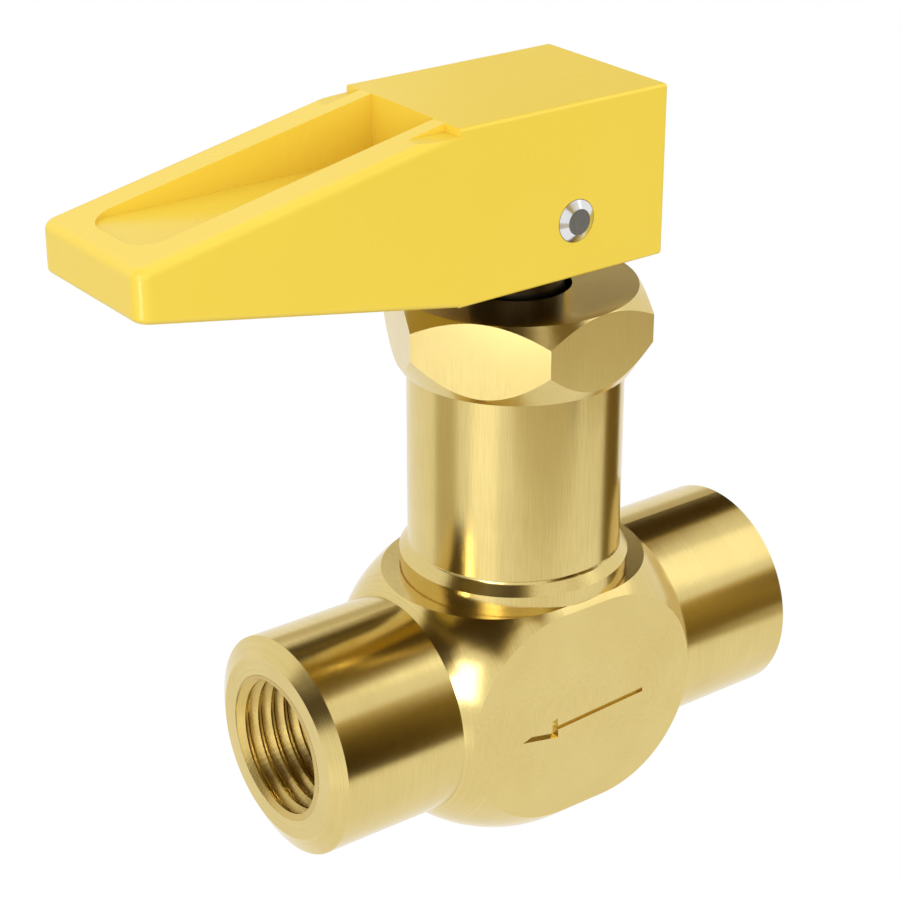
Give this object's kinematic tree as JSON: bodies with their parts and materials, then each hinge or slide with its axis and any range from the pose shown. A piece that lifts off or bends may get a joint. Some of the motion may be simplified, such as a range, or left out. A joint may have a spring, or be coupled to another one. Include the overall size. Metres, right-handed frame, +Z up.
{
  "type": "thermal shut-off valve",
  "caption": "In-line brass shut-off valve with threaded sockets, side flats, a hexagon bonnet and a yellow toggle lever that lifts a spring-closed stem.",
  "frame": {"origin": "centre of the inlet socket mouth", "axes": "+X out of the inlet socket along the pipe axis, so flow runs towards -X; +Z up the stem; the flow arrow is on the -Y flat and the lever points to -X"},
  "size_m": [0.0664, 0.022, 0.0692],
  "materials": {
    "body_brass": "turned and brushed, satin",
    "bonnet_brass": "turned, satin",
    "ptfe": "white, waxy",
    "seal_rubber": "matt black",
    "dark_steel": "blackened",
    "steel": "turned",
    "spring_steel": "drawn wire",
    "pin_steel": "bright, ground end",
    "yellow_plastic": "moulded, satin gloss"
  },
  "bodies": {
    "valve": {"valve_body": "body_brass", "bonnet": "bonnet_brass", "bonnet_gasket": "body_brass", "seal_support_ring": "ptfe", "stem_seal_lower": "seal_rubber", "seal_spacer": "bonnet_brass", "stem_seal_upper": "seal_rubber", "thrust_bush": "dark_steel", "spring_washer": "steel", "closing_spring": "spring_steel"},
    "stem_group": {"stem": "steel", "disc_holder": "bonnet_brass", "seat_seal": "seal_rubber", "seal_washer": "steel", "seal_screw": "steel", "lever_pin": "pin_steel"},
    "lever_group": {"lever": "yellow_plastic"}
  },
  "joints": [
    {"name": "stem_lift", "type": "slide", "parent": "valve", "child": "stem_group", "axis": [0, 0, 1], "range_m": [0, 0.0052], "deforming": ["closing_spring"]},
    {"name": "lever_swing", "type": "hinge", "parent": "stem_group", "child": "lever_group", "pos_m": [-0.02575, 0, 0.04476], "axis": [0, 1, 0], "range_deg": [0, 90]}
  ],
  "couplings": [
    {"joint": "stem_lift", "follows": "lever_swing", "m_per_rad": 0.0033104}
  ]
}
